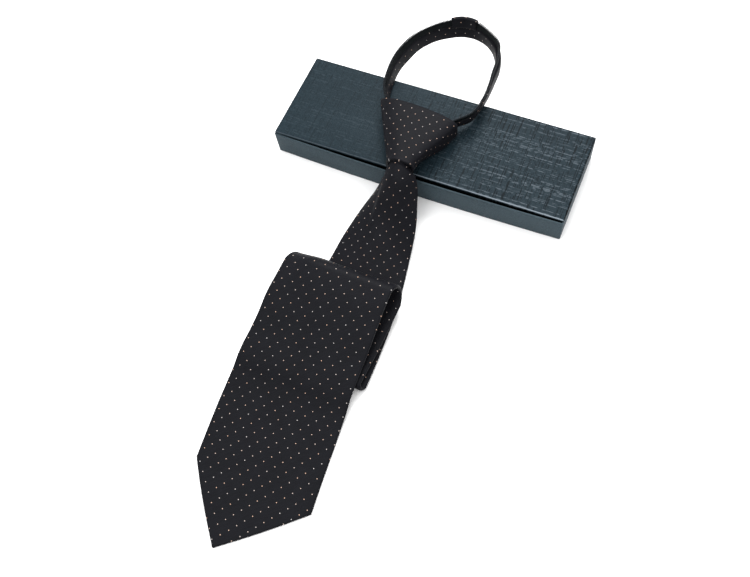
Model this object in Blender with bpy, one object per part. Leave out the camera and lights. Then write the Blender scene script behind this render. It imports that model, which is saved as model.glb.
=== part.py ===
"""A ready-knotted tie with a zip neck loop, its knot resting on its flat gift box.

The origin is the middle of the box's underside. X runs along the box, Y towards
its back and Z up. The blade runs forward from the knot and is folded twice on
its way to the tip, and the neck loop stands behind the knot.
"""

import math
from collections import namedtuple

import bmesh
import bpy
from mathutils import Vector

MM = 0.001
GAP = 0.3 * MM  # clearance between pieces that touch

# Gift box: a card tray and a lift-off lid that lies on its ends and its back, with a skirt inside
BOX_LENGTH = 235 * MM
BOX_DEPTH = 79.6 * MM
BOX_HEIGHT = 24.3 * MM
FRONT_BOW = 2 * MM  # how far the tray's front wall bulges at its middle
CARD = 1.2 * MM
LID_RISE = 1.8 * MM  # the lid's top above the tray's rim
LID_FIT = 1.2 * MM  # open line between the lid and the tray's front wall, at its ends
LID_SKIRT = 8 * MM  # how far the lid's skirt reaches below the tray's rim

# Knot: a hollow wrap, wide at the top and narrow at the hem
KNOT_TOP_WIDTH = 65 * MM
KNOT_HEM_WIDTH = 23 * MM
KNOT_LENGTH = 50 * MM
KNOT_DEPTH = 20.7 * MM
KNOT_WALL = 2 * MM
KNOT_OVERHANG = 3.2 * MM  # the hem past the box's front
KNOT_TOP_BOW = 1.4 * MM
KNOT_TOP_CENTRE = -12.2 * MM
KNOT_HEM_CENTRE = -7.4 * MM

# Front blade
BLADE_WIDTH = 90 * MM
BLADE_THICKNESS = 2.8 * MM
FOLD_WIDTH = 74 * MM  # the blade's width where it first folds
TIP_LENGTH = 46.5 * MM
TIP_SLANT = 2.2 * MM  # the tip's right corner lies this much past its middle
TIP_REACH = 296.4 * MM  # from the box's front
FRONT_FOLD_REACH = 163.2 * MM
REAR_FOLD_REACH = 85.2 * MM
FRONT_FOLD_SPACE = 1.6 * MM  # clear height inside each fold
REAR_FOLD_SPACE = 14.4 * MM
LANDING = 43 * MM  # run from the front fold down to the surface

# Tail: the narrow blade under the front one
TAIL_WIDTH = 30 * MM
TAIL_NECK_WIDTH = 9 * MM
TAIL_THICKNESS = 2.2 * MM
TAIL_REACH = 150 * MM
TAIL_LIFT = 1.2 * MM  # above the knot's rounded floor

# Neck loop: a cloth band with a zip tape and teeth along its upper edge
LOOP_WIDTH = 78 * MM
LOOP_REACH = 96 * MM  # from the knot's top edge
LOOP_CENTRE = -11 * MM
BAND_WIDTH = 18 * MM
CLOTH_WIDTH = 11 * MM
CLOTH_THICKNESS = 2.4 * MM
TAPE_THICKNESS = 1 * MM
TEETH_WIDTH = 2 * MM
TEETH_THICKNESS = 2 * MM
TAB_LENGTH = 20 * MM
TAB_DEPTH = 8 * MM  # how far the tab's legs reach down from the band's upper edge
TAB_WALL = 1 * MM
TAB_PLACE = 0.48  # share of the loop's length, from its left end

# Fineness of the faces, and the rounding of the edges
KNOT_SIDES = 36
BOW_STEPS = 12
BLADE_COLUMNS = 11
TAIL_COLUMNS = 5
BAND_STEPS = 44  # on each side of the back tab
TAB_STEPS = 5
EDGE_ROUND = 0.6 * MM

# Levels and places that follow from the sizes
BOX_FRONT = -BOX_DEPTH / 2
KNOT_BOTTOM = BOX_HEIGHT + GAP
KNOT_MIDDLE = KNOT_BOTTOM + KNOT_DEPTH / 2
KNOT_HEM = BOX_FRONT - KNOT_OVERHANG
KNOT_TOP = KNOT_HEM + KNOT_LENGTH
HALF_BLADE = BLADE_THICKNESS / 2
BLADE_HEM_WIDTH = KNOT_HEM_WIDTH - 2 * (KNOT_WALL + GAP) - BLADE_THICKNESS
BLADE_HEM_LEVEL = KNOT_BOTTOM + KNOT_DEPTH - KNOT_WALL - GAP - HALF_BLADE
LOW_LEVEL = TAIL_THICKNESS + GAP + HALF_BLADE
FRONT_FOLD_RADIUS = (FRONT_FOLD_SPACE + BLADE_THICKNESS) / 2
REAR_FOLD_RADIUS = (REAR_FOLD_SPACE + BLADE_THICKNESS) / 2
MIDDLE_LEVEL = LOW_LEVEL + 2 * FRONT_FOLD_RADIUS
TOP_LEVEL = MIDDLE_LEVEL + 2 * REAR_FOLD_RADIUS
OVER_FOLD_LEVEL = MIDDLE_LEVEL + BLADE_THICKNESS + GAP
FRONT_TURN = BOX_FRONT - FRONT_FOLD_REACH + FRONT_FOLD_RADIUS + HALF_BLADE
REAR_TURN = BOX_FRONT - REAR_FOLD_REACH - REAR_FOLD_RADIUS - HALF_BLADE
CORNER_PLACE = BOX_FRONT - TIP_REACH + TIP_LENGTH

# One cross-section of a strap: its middle, its width, how far it is rolled and slanted
Section = namedtuple("Section", "y level width centre roll slant")

# Lower run, from inside the knot to the front fold. Reach is a share of the run from the
# box's front, rise of the drop from the knot, spread of the widening and shift of the width.
Lay = namedtuple("Lay", "reach rise spread shift roll")
LOWER_RUN = (
    Lay(-0.072, 0.985, 0.000, -0.016, 1.45),
    Lay(-0.023, 1.000, 0.000, -0.008, 1.45),
    Lay(0.020, 1.000, 0.000, 0.000, 1.45),
    Lay(0.050, 0.970, 0.100, 0.018, 1.35),
    Lay(0.093, 0.875, 0.165, 0.029, 1.40),
    Lay(0.160, 0.640, 0.310, 0.024, 1.20),
    Lay(0.246, 0.360, 0.530, 0.010, 0.78),
    Lay(0.350, 0.150, 0.671, 0.005, 0.46),
    Lay(0.479, 0.030, 0.769, 0.018, 0.20),
    Lay(0.620, 0.000, 0.880, 0.019, 0.10),
    Lay(0.800, 0.000, 0.957, 0.016, 0.08),
    Lay(0.978, 0.000, 1.000, 0.010, 0.06),
)

# Middle and top runs. Along is a share of each run, rise of its drop, and width and shift
# are shares of the blade's width.
Run = namedtuple("Run", "along rise width shift")
MIDDLE_RUN = (
    Run(0.0, 0.0, 0.844, -0.038),
    Run(0.5, 0.0, 0.900, -0.045),
    Run(1.0, 0.0, 0.933, -0.051),
)
TOP_RUN = (
    Run(0.00, 1.000, 0.933, -0.118),
    Run(0.22, 0.910, 0.939, -0.118),
    Run(0.44, 0.640, 0.956, -0.123),
    Run(0.66, 0.310, 0.960, -0.124),
    Run(0.84, 0.085, 0.968, -0.128),
    Run(1.00, 0.000, 0.978, -0.129),
)
LANDING_RUN = (
    Run(0.00, 1.00, 0.978, -0.129),
    Run(0.21, 0.76, 0.984, -0.130),
    Run(0.44, 0.34, 0.992, -0.128),
    Run(0.68, 0.07, 1.000, -0.126),
    Run(1.00, 0.00, 1.004, -0.115),
)
TIP_SHIFTS = (-0.092, -0.066, -0.131)  # half way to the corners, at the corners, at the point

# Tail, as shares of its reach, of its drop from the knot and of its widening
Drop = namedtuple("Drop", "reach rise spread")
TAIL_RUN = (
    Drop(-0.052, 1.000, 0.00),
    Drop(0.000, 1.000, 0.00),
    Drop(0.028, 0.985, 0.02),
    Drop(0.068, 0.810, 0.12),
    Drop(0.115, 0.560, 0.24),
    Drop(0.161, 0.300, 0.40),
    Drop(0.215, 0.100, 0.58),
    Drop(0.281, 0.010, 0.74),
    Drop(0.368, 0.000, 0.90),
    Drop(0.600, 0.000, 1.00),
    Drop(0.900, 0.000, 1.00),
)

# Knot, from its top edge to its hem: flare runs from the top's width to the hem's
Wrap = namedtuple("Wrap", "along flare squareness")
KNOT_WRAPS = (
    Wrap(0.00, 1.00, 3.6),
    Wrap(0.20, 0.79, 3.3),
    Wrap(0.45, 0.53, 3.0),
    Wrap(0.70, 0.27, 2.7),
    Wrap(0.93, 0.02, 2.4),
    Wrap(1.00, 0.00, 2.4),
)

# Neck loop, clockwise from its left end in the knot. Across and along are shares of the
# loop's width and reach, rise of the band's width, and lean is in degrees, outwards at the top.
Turn = namedtuple("Turn", "across along rise lean width")
LOOP_TURNS = (
    Turn(-0.190, -0.140, 0.55, 5, 0.64),
    Turn(-0.343, 0.000, 0.55, 9, 0.64),
    Turn(-0.434, 0.123, 0.55, 10, 0.93),
    Turn(-0.474, 0.271, 0.53, 10, 1.00),
    Turn(-0.487, 0.440, 0.47, 11, 1.00),
    Turn(-0.457, 0.598, 0.41, 14, 1.00),
    Turn(-0.400, 0.735, 0.36, 10, 1.00),
    Turn(-0.288, 0.857, 0.34, 8, 1.00),
    Turn(-0.164, 0.936, 0.34, 11, 1.00),
    Turn(-0.030, 0.992, 0.34, 14, 1.00),
    Turn(0.120, 0.996, 0.34, 9, 1.00),
    Turn(0.276, 0.945, 0.34, 2, 1.00),
    Turn(0.406, 0.857, 0.34, 6, 1.00),
    Turn(0.477, 0.726, 0.34, -1, 1.00),
    Turn(0.475, 0.570, 0.38, -4, 1.00),
    Turn(0.507, 0.410, 0.47, 5, 1.00),
    Turn(0.505, 0.268, 0.52, 9, 0.98),
    Turn(0.465, 0.120, 0.55, 11, 0.88),
    Turn(0.322, 0.000, 0.54, 8, 0.64),
    Turn(0.180, -0.140, 0.54, 4, 0.64),
)


def smooth(rows, steps):
    """Points of a curve through all rows, with the given number of steps between two rows."""
    rows = [tuple(row) for row in rows]
    padded = [rows[0], *rows, rows[-1]]
    found = []
    for before, start, end, after in zip(padded, padded[1:], padded[2:], padded[3:]):
        for step in range(steps):
            t = step / steps
            point = []
            for a, b, c, d in zip(before, start, end, after):
                first = (c - a) / 2
                second = a - 2.5 * b + 2 * c - d / 2
                third = 1.5 * (b - c) + (d - a) / 2
                point.append(b + t * (first + t * (second + t * third)))
            found.append(tuple(point))
    return [*found, rows[-1]]


def between(start, end, share):
    return start + (end - start) * share


def principled(name, color, roughness):
    material = bpy.data.materials.new(name)
    material.use_nodes = True
    shader = material.node_tree.nodes["Principled BSDF"]
    shader.inputs["Base Color"].default_value = (*color, 1)
    shader.inputs["Roughness"].default_value = roughness
    shader.inputs["Metallic"].default_value = 0
    return material


def add_piece(name, mesh_of_faces, origin, material):
    """Makes an object of a bmesh whose points are in world space, with its origin at a place of its own."""
    bmesh.ops.translate(mesh_of_faces, verts=mesh_of_faces.verts, vec=-Vector(origin))
    bmesh.ops.recalc_face_normals(mesh_of_faces, faces=mesh_of_faces.faces)
    mesh = bpy.data.meshes.new(name)
    mesh_of_faces.to_mesh(mesh)
    mesh_of_faces.free()
    mesh.materials.append(material)
    mesh.shade_smooth()
    mesh.set_sharp_from_angle(angle=math.radians(50))
    piece = bpy.data.objects.new(name, mesh)
    piece.location = origin
    piece.parent = holder
    pieces.objects.link(piece)
    return piece


def loft(rings, ends):
    """Joins rings of points into one closed skin. Its two ends are closed by strips between a
    strap's faces, or by one flat face each, or joined to each other."""
    body = bmesh.new()
    rows = [[body.verts.new(point) for point in ring] for ring in rings]
    if ends == "joined":
        rows.append(rows[0])
    for near, far in zip(rows, rows[1:]):
        for i in range(len(near)):
            body.faces.new((near[i - 1], near[i], far[i], far[i - 1]))
    for row in (rows[0], rows[-1]):
        if ends == "flat":
            body.faces.new(row)
        elif ends == "strips":
            for i in range(len(row) // 2 - 1):
                body.faces.new((row[i], row[i + 1], row[-2 - i], row[-1 - i]))
    return body


def strap_rings(sections, thickness, columns):
    """Rings of a strap that follows its sections, rolled across its width where they say so."""
    rings = []
    for i, section in enumerate(sections):
        before = sections[max(i - 1, 0)]
        after = sections[min(i + 1, len(sections) - 1)]
        run = Vector((0, after.y - before.y, after.level - before.level)).normalized()
        normal = Vector((0, run.z, -run.y))
        middle = Vector((section.centre, section.y, section.level))
        front, back = [], []
        for column in range(columns):
            share = math.sin(math.pi * (column / (columns - 1) - 0.5))
            angle = share * section.roll
            radius = section.width / 2 / math.sin(section.roll) if section.roll else 0
            across = radius * math.sin(angle) if section.roll else share * section.width / 2
            sink = radius * (1 - math.cos(angle))
            place = middle + Vector((across, share * section.slant, 0)) - normal * sink
            outward = normal * math.cos(angle) + Vector((math.sin(angle), 0, 0))
            half = thickness / 2 * (0.4 if column in (0, columns - 1) else 1)
            front.append(place + outward * half)
            back.append(place - outward * half)
        rings.append([*front, *reversed(back)])
    return rings


def turn_sections(start, end, turn_y, radius, steps, side):
    """Sections of a half turn from one run up to the next, towards the front or the back."""
    found = []
    for step in range(1, steps):
        share = step / steps
        angle = math.pi * share
        found.append(
            Section(
                turn_y + side * radius * math.sin(angle),
                start.level + radius * (1 - math.cos(angle)),
                between(start.width, end.width, share),
                between(start.centre, end.centre, share),
                between(start.roll, end.roll, share),
                0,
            )
        )
    return found


def run_sections(rows, start_y, end_y, high, low, steps):
    """Sections of a run whose table gives its widths and shifts as shares of the blade's width."""
    return [
        Section(
            between(start_y, end_y, along),
            between(low, high, rise),
            BLADE_WIDTH * width,
            KNOT_HEM_CENTRE + BLADE_WIDTH * shift,
            0,
            0,
        )
        for along, rise, width, shift in smooth(rows, steps)
    ]


def blade_sections():
    lower = [
        Section(
            BOX_FRONT - FRONT_FOLD_REACH * reach,
            between(LOW_LEVEL, BLADE_HEM_LEVEL, rise),
            between(BLADE_HEM_WIDTH, FOLD_WIDTH, spread),
            KNOT_HEM_CENTRE + BLADE_WIDTH * shift,
            roll,
            0,
        )
        for reach, rise, spread, shift, roll in smooth(LOWER_RUN, 2)
    ]
    lower[-1] = lower[-1]._replace(y=FRONT_TURN)
    middle = run_sections(MIDDLE_RUN, FRONT_TURN, REAR_TURN, 0, MIDDLE_LEVEL, 1)
    top_end = BOX_FRONT - FRONT_FOLD_REACH
    top = run_sections(TOP_RUN, REAR_TURN, top_end, TOP_LEVEL, OVER_FOLD_LEVEL, 2)
    landing = run_sections(LANDING_RUN, top_end, top_end - LANDING, OVER_FOLD_LEVEL, HALF_BLADE, 3)
    front_turn = turn_sections(lower[-1], middle[0], FRONT_TURN, FRONT_FOLD_RADIUS, 6, -1)
    rear_turn = turn_sections(middle[-1], top[0], REAR_TURN, REAR_FOLD_RADIUS, 10, 1)
    landing_end = landing[-1].y
    half_way = (landing_end + CORNER_PLACE) / 2
    tip = [
        Section(y, HALF_BLADE, width, KNOT_HEM_CENTRE + BLADE_WIDTH * shift, 0, slant)
        for y, width, shift, slant in (
            (half_way, BLADE_WIDTH, TIP_SHIFTS[0], -TIP_SLANT / 3),
            (CORNER_PLACE, BLADE_WIDTH, TIP_SHIFTS[1], -TIP_SLANT),
            (CORNER_PLACE - TIP_LENGTH + GAP, 2 * GAP, TIP_SHIFTS[2], 0),
        )
    ]
    return [*lower, *front_turn, *middle, *rear_turn, *top, *landing[1:], *tip]


def tail_sections():
    knot_level = KNOT_BOTTOM + KNOT_WALL + TAIL_LIFT + TAIL_THICKNESS / 2
    runs = [
        Section(
            BOX_FRONT - TAIL_REACH * reach,
            between(TAIL_THICKNESS / 2, knot_level, rise),
            between(TAIL_NECK_WIDTH, TAIL_WIDTH, spread),
            KNOT_HEM_CENTRE,
            0,
            0,
        )
        for reach, rise, spread in smooth(TAIL_RUN, 2)
    ]
    point = runs[-1]._replace(y=BOX_FRONT - TAIL_REACH, width=2 * GAP)
    return [*runs, point]


def knot_ring(wrap, wall):
    """One ring of the knot, a rounded box in section, drawn in by the wall on its inner side."""
    width = between(KNOT_HEM_WIDTH, KNOT_TOP_WIDTH, wrap.flare)
    centre = between(KNOT_TOP_CENTRE, KNOT_HEM_CENTRE, wrap.along)
    half_width = width / 2 - wall
    half_depth = KNOT_DEPTH / 2 - wall
    power = 2 / wrap.squareness
    ring = []
    for side in range(KNOT_SIDES):
        angle = math.tau * side / KNOT_SIDES
        across = math.copysign(abs(math.cos(angle)) ** power, math.cos(angle))
        up = math.copysign(abs(math.sin(angle)) ** power, math.sin(angle))
        bow = KNOT_TOP_BOW * (1 - across**2) * (1 - wrap.along)
        y = KNOT_TOP - KNOT_LENGTH * wrap.along + bow
        ring.append(Vector((centre + half_width * across, y, KNOT_MIDDLE + half_depth * up)))
    return ring


def loop_curve():
    """The neck loop's rows in metres and radians, their places, and each place's distance along it."""
    rows = [
        (
            LOOP_CENTRE + LOOP_WIDTH * turn.across,
            KNOT_TOP + LOOP_REACH * turn.along,
            KNOT_BOTTOM + BAND_WIDTH * turn.rise,
            math.radians(turn.lean),
            turn.width,
        )
        for turn in LOOP_TURNS
    ]
    curve = smooth(rows, 6)
    places = [Vector(row[:3]) for row in curve]
    distances = [0.0]
    for a, b in zip(places, places[1:]):
        distances.append(distances[-1] + (b - a).length)
    return curve, places, distances


def frame_at(loop, distance):
    """The band at a distance along the loop: its middle, the ways up and out, and its width's share."""
    curve, places, distances = loop
    i = max(k for k in range(len(distances) - 1) if distances[k] <= distance)
    share = (distance - distances[i]) / (distances[i + 1] - distances[i])
    middle = places[i].lerp(places[i + 1], share)
    lean = between(curve[i][3], curve[i + 1][3], share)
    width = between(curve[i][4], curve[i + 1][4], share)
    before = places[max(i - 1, 0)]
    after = places[min(i + 2, len(places) - 1)]
    run = Vector((after.x - before.x, after.y - before.y, 0)).normalized()
    out = Vector((-run.y, run.x, 0))
    upward = Vector((0, 0, 1)) * math.cos(lean) + out * math.sin(lean)
    outward = out * math.cos(lean) - Vector((0, 0, 1)) * math.sin(lean)
    return middle, upward, outward, width


def strip_section(low, high, thickness, chamfer):
    """Corners of a flat strip's section, as heights above the band's middle and offsets outwards."""
    half = thickness / 2
    return (
        (low, half - chamfer),
        (low + chamfer, half),
        (high - chamfer, half),
        (high, half - chamfer),
        (high, chamfer - half),
        (high - chamfer, -half),
        (low + chamfer, -half),
        (low, chamfer - half),
    )


def tab_section():
    """Corners of the back tab's section, folded over the band's upper edge with a leg on each side."""
    low = BAND_WIDTH / 2 - TAB_DEPTH
    inner_top = BAND_WIDTH / 2 + GAP
    inner = CLOTH_THICKNESS / 2 + GAP
    top, outer = inner_top + TAB_WALL, inner + TAB_WALL
    return (
        (low, outer),
        (top - EDGE_ROUND, outer),
        (top, outer - EDGE_ROUND),
        (top, EDGE_ROUND - outer),
        (top - EDGE_ROUND, -outer),
        (low, -outer),
        (low, -inner),
        (inner_top, -inner),
        (inner_top, inner),
        (low, inner),
    )


def band_rings(loop, start, end, steps, corners):
    """Rings that carry a section along the band. Its heights narrow where the band does."""
    rings = []
    for step in range(steps + 1):
        middle, upward, outward, width = frame_at(loop, between(start, end, step / steps))
        rings.append([middle + upward * a * width + outward * b for a, b in corners])
    return rings


def box_outline(inset, bow=0, front_inset=None):
    """The box's outline seen from above, drawn in by the inset, with a bowed front."""
    half_length = BOX_LENGTH / 2 - inset
    back = BOX_DEPTH / 2 - inset
    front = (inset if front_inset is None else front_inset) - BOX_DEPTH / 2
    points = [(half_length, back), (-half_length, back)]
    for step in range(BOW_STEPS + 1):
        share = 2 * step / BOW_STEPS - 1
        points.append((share * half_length, front - bow * (1 - share**2)))
    return points


def ring_at(outline, z):
    return [Vector((x, y, z)) for x, y in outline]


def add_gift_box():
    paper = principled("linen_card", (0.075, 0.09, 0.1), 0.6)
    rim = BOX_HEIGHT - LID_RISE
    tray = loft(
        (
            ring_at(box_outline(0, FRONT_BOW), 0),
            ring_at(box_outline(0, FRONT_BOW), rim),
            ring_at(box_outline(CARD, FRONT_BOW), rim),
            ring_at(box_outline(CARD, FRONT_BOW), CARD),
        ),
        "flat",
    )
    add_piece("box_tray", tray, (0, 0, 0), paper)
    front = CARD + LID_FIT
    skirt = front + GAP
    lid = loft(
        (
            ring_at(box_outline(0, 0, front), BOX_HEIGHT),
            ring_at(box_outline(0, 0, front), rim + GAP),
            ring_at(box_outline(skirt), rim + GAP),
            ring_at(box_outline(skirt), rim - LID_SKIRT),
            ring_at(box_outline(skirt + CARD), rim - LID_SKIRT),
            ring_at(box_outline(skirt + CARD), BOX_HEIGHT - CARD),
        ),
        "flat",
    )
    add_piece("box_lid", lid, (0, 0, BOX_HEIGHT), paper)


def add_knot(cloth):
    outside = [knot_ring(wrap, 0) for wrap in KNOT_WRAPS]
    inside = [knot_ring(wrap, KNOT_WALL) for wrap in reversed(KNOT_WRAPS)]
    origin = (KNOT_HEM_CENTRE, KNOT_HEM, KNOT_MIDDLE)
    add_piece("knot", loft([*outside, *inside], "joined"), origin, cloth)


def add_blades(cloth):
    blade = loft(strap_rings(blade_sections(), BLADE_THICKNESS, BLADE_COLUMNS), "strips")
    add_piece("front_blade", blade, (KNOT_HEM_CENTRE, KNOT_HEM, BLADE_HEM_LEVEL), cloth)
    tail = loft(strap_rings(tail_sections(), TAIL_THICKNESS, TAIL_COLUMNS), "strips")
    add_piece("tail", tail, (KNOT_HEM_CENTRE, KNOT_HEM, 0), cloth)


def add_neck_loop(cloth):
    tape_cloth = principled("zip_tape", (0.012, 0.013, 0.015), 0.8)
    nylon = principled("zip_nylon", (0.015, 0.016, 0.018), 0.4)
    loop = loop_curve()
    length = loop[2][-1]
    joint = length * TAB_PLACE
    low, high = -BAND_WIDTH / 2, BAND_WIDTH / 2
    cloth_top = low + CLOTH_WIDTH
    teeth_low = high - TEETH_WIDTH
    origin = frame_at(loop, joint)[0]
    band = strip_section(low, cloth_top, CLOTH_THICKNESS, EDGE_ROUND)
    band = band_rings(loop, 0, length, 2 * BAND_STEPS, band)
    add_piece("neck_band", loft(band, "strips"), origin, cloth)
    tape = strip_section(cloth_top + GAP, teeth_low - GAP, TAPE_THICKNESS, GAP)
    teeth = strip_section(teeth_low, high, TEETH_THICKNESS, EDGE_ROUND)
    for side, start, end in (("left", 0, joint - GAP / 2), ("right", joint + GAP / 2, length)):
        for name, section, material in (("zip_tape", tape, tape_cloth), ("zip_teeth", teeth, nylon)):
            rings = band_rings(loop, start, end, BAND_STEPS, section)
            add_piece(f"{name}_{side}", loft(rings, "strips"), origin, material)
    ends = (joint - TAB_LENGTH / 2, joint + TAB_LENGTH / 2)
    tab = band_rings(loop, *ends, TAB_STEPS, tab_section())
    add_piece("back_tab", loft(tab, "flat"), origin, cloth)


for old in list(bpy.data.objects):
    bpy.data.objects.remove(old, do_unlink=True)
pieces = bpy.data.collections.new("zipper_tie_on_gift_box")
bpy.context.scene.collection.children.link(pieces)
holder = bpy.data.objects.new("zipper_tie_on_gift_box", None)
pieces.objects.link(holder)

dotted_cloth = principled("dotted_cloth", (0.03, 0.027, 0.032), 0.65)
add_gift_box()
add_knot(dotted_cloth)
add_blades(dotted_cloth)
add_neck_loop(dotted_cloth)
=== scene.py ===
"""A ready-knotted tie with a zip neck loop, laid with its knot on a closed gift box."""

import math
from collections import namedtuple

import bmesh
import bpy
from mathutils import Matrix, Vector, noise


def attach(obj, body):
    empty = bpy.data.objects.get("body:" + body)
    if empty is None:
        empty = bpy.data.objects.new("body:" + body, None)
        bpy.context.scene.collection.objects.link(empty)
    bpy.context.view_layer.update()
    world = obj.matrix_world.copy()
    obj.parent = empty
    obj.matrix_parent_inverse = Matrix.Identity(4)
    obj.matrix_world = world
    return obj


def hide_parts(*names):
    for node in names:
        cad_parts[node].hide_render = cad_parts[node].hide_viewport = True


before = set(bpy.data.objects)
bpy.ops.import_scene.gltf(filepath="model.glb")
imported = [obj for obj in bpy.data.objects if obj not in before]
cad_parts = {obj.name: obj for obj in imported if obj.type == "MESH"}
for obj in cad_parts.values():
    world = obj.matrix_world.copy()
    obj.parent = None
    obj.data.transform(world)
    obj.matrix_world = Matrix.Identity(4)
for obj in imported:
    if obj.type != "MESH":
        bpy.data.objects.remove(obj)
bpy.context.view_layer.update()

MM = 0.001

# The view. The tie is looked down on from the front right, from about arm's
# length. It lies on a white table top in a white room, brightest overhead, with
# a soft window light behind it and a weaker light in front.
TABLE_HALF = 3.0
TABLE_DROP = 0.1 * MM
ROOM_AT_TABLE = 0.30
ROOM_OVERHEAD = 2.0

lens = bpy.data.cameras.new("view")
lens.lens = 38.575
lens.sensor_width = 36
lens.clip_start = 0.01
viewpoint = bpy.data.objects.new("view", lens)
viewpoint.location = (0.151, -0.33864, 0.53476)
viewpoint.rotation_euler = [math.radians(turn) for turn in (25.249, 5.222, 23.556)]
bpy.context.scene.collection.objects.link(viewpoint)
bpy.context.scene.camera = viewpoint
bpy.context.scene.view_settings.view_transform = "Standard"


def brew(material, kind, inputs=(), **settings):
    """Adds one shader node to a finish: its settings, then its inputs, as values or links."""
    made = material.node_tree.nodes.new("ShaderNode" + kind)
    for key, value in settings.items():
        setattr(made, key, value)
    for key, value in dict(inputs).items():
        if isinstance(value, bpy.types.NodeSocket):
            material.node_tree.links.new(value, made.inputs[key])
        else:
            made.inputs[key].default_value = value
    return made.outputs


def plain_finish(name, roughness, gloss):
    """A new finish with its constant values on the shader's own sockets."""
    material = bpy.data.materials.new(name)
    material.use_nodes = True
    shader = material.node_tree.nodes["Principled BSDF"].inputs
    shader["Roughness"].default_value = roughness
    shader["Specular IOR Level"].default_value = gloss
    return material, shader


def join(material, output, socket):
    """Links a node's output to one of the shader's inputs."""
    material.node_tree.links.new(output, socket)


table_white, shader = plain_finish("table_white", 0.9, 0.0)
grain = brew(table_white, "TexNoise", {"Scale": 40.0, "Detail": 3.0})
shade = brew(
    table_white,
    "Mix",
    {0: grain["Fac"], "A": (0.93, 0.93, 0.93, 1), "B": (0.95, 0.95, 0.95, 1)},
    data_type="RGBA",
)
join(table_white, shade["Result"], shader["Base Color"])

cut = bmesh.new()
corners = [(-1, -1), (1, -1), (1, 1), (-1, 1)]
cut.faces.new([cut.verts.new((x * TABLE_HALF, y * TABLE_HALF, -TABLE_DROP)) for x, y in corners])
table_mesh = bpy.data.meshes.new("table_top")
cut.to_mesh(table_mesh)
cut.free()
table_mesh.materials.append(table_white)
table_top = bpy.data.objects.new("table_top", table_mesh)
bpy.context.scene.collection.objects.link(table_top)

room = bpy.data.worlds.new("white_room")
room.use_nodes = True
sky = room.node_tree.nodes["Background"].inputs
sky["Color"].default_value = (1, 1, 1, 1)
direction = brew(room, "TexCoord")["Generated"]
height = brew(room, "SeparateXYZ", {"Vector": direction})["Z"]
glow = brew(
    room, "MapRange", {"Value": height, "To Min": ROOM_AT_TABLE, "To Max": ROOM_OVERHEAD}
)
join(room, glow["Result"], sky["Strength"])
bpy.context.scene.world = room

for name, place, width, power in (
    ("window_light", (-0.22, 0.95, 1.10), 0.7, 22.0),
    ("front_light", (-0.35, -0.60, 1.25), 0.8, 5.0),
):
    lamp = bpy.data.lights.new(name, "AREA")
    lamp.shape = "DISK"
    lamp.size = width
    lamp.energy = power
    light = bpy.data.objects.new(name, lamp)
    light.location = place
    light.rotation_euler = (-Vector(place)).to_track_quat("-Z", "Y").to_euler()
    bpy.context.scene.collection.objects.link(light)

# Gift box: a shallow tray of grey card and a lid that stands inside its walls.
# Both are wrapped in slate paper, which is smooth on the tray's walls and has
# linen pressed into it on the lid. The paper is glued round every edge.
BOX_LENGTH = 235 * MM
BOX_DEPTH = 79.6 * MM
BOX_HEIGHT = 24.3 * MM
FRONT_BOW = 2 * MM
CARD = 1.2 * MM
FOOT_ROUND = 0.9 * MM
RIM_ROUND = 0.45 * MM
TRAY_CORNER = 0.8 * MM
LID_RISE = 1.8 * MM
LID_FIT = 0.9 * MM
LID_GAP = 0.3 * MM
LID_SKIRT = 8 * MM
LID_CORNER = 0.9 * MM
LID_SLANT = 1.2 * MM
LID_SIDE_ROUND = 1.45 * MM
LID_FRONT_ROUND = 1.1 * MM
LID_SIDE_INSET = 0.05 * MM
LID_PANEL_INSET = 2.5 * MM
LEAST_CORNER = 0.2 * MM
CORNER_STEPS = 8
FRONT_STEPS = 40
ROUND_STEPS = 6
DARKEST = 0.35  # least share of the paper's colour, where the painted shade in the sunk threads is deepest
LINEN_FROM, LINEN_TO = -30 * MM, 70 * MM  # the linen's relief, and its painted glints and shade, grow from left to right
LINEN_LEAST = 0.16


def card_ring(front_inset, inset, z, bow, corner, slant):
    """The box's outline at one height, drawn in by its front and other insets, with round corners.
    A bow curves its front edge outwards, and a slant brings that edge forward at the left end."""
    x, back, front = BOX_LENGTH / 2 - inset, BOX_DEPTH / 2 - inset, BOX_DEPTH / 2 - front_inset
    points = []
    for side_x, side_y, first in ((1, 1, 0), (-1, 1, 90), (-1, -1, 180), (1, -1, 270)):
        y = back if side_y > 0 else front
        if first == 270:
            for step in range(1, FRONT_STEPS):
                points.append(((2 * step / FRONT_STEPS - 1) * (x - corner), -y))
        for step in range(CORNER_STEPS + 1):
            turn = math.radians(first + 90 * step / CORNER_STEPS)
            points.append(
                (
                    side_x * (x - corner) + corner * math.cos(turn),
                    side_y * (y - corner) + corner * math.sin(turn),
                )
            )
    ring = []
    for px, py in points:
        if py < 0:
            off = bow * max(0.0, 1 - (px / x) ** 2) + slant * (1 - px / x) / 2
            py -= off * min(1.0, -py / front)
        ring.append(Vector((px, py, z)))
    return ring


def fold_over(inset, z, radius, start, end, steps=4):
    """Insets and heights of a rounded edge about a point, from one angle to another, in degrees."""
    found = []
    for step in range(steps + 1):
        turn = math.radians(start + (end - start) * step / steps)
        found.append((inset + radius * math.cos(turn), z + radius * math.sin(turn)))
    return found


def close_up(body, name, material):
    """Makes the finished object of a bmesh, smooth shaded all over, riding with the whole."""
    bmesh.ops.recalc_face_normals(body, faces=body.faces)
    mesh = bpy.data.meshes.new(name)
    body.to_mesh(mesh)
    body.free()
    mesh.materials.append(material)
    mesh.shade_smooth()
    piece = bpy.data.objects.new(name, mesh)
    bpy.context.scene.collection.objects.link(piece)
    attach(piece, "root")
    return piece


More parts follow.
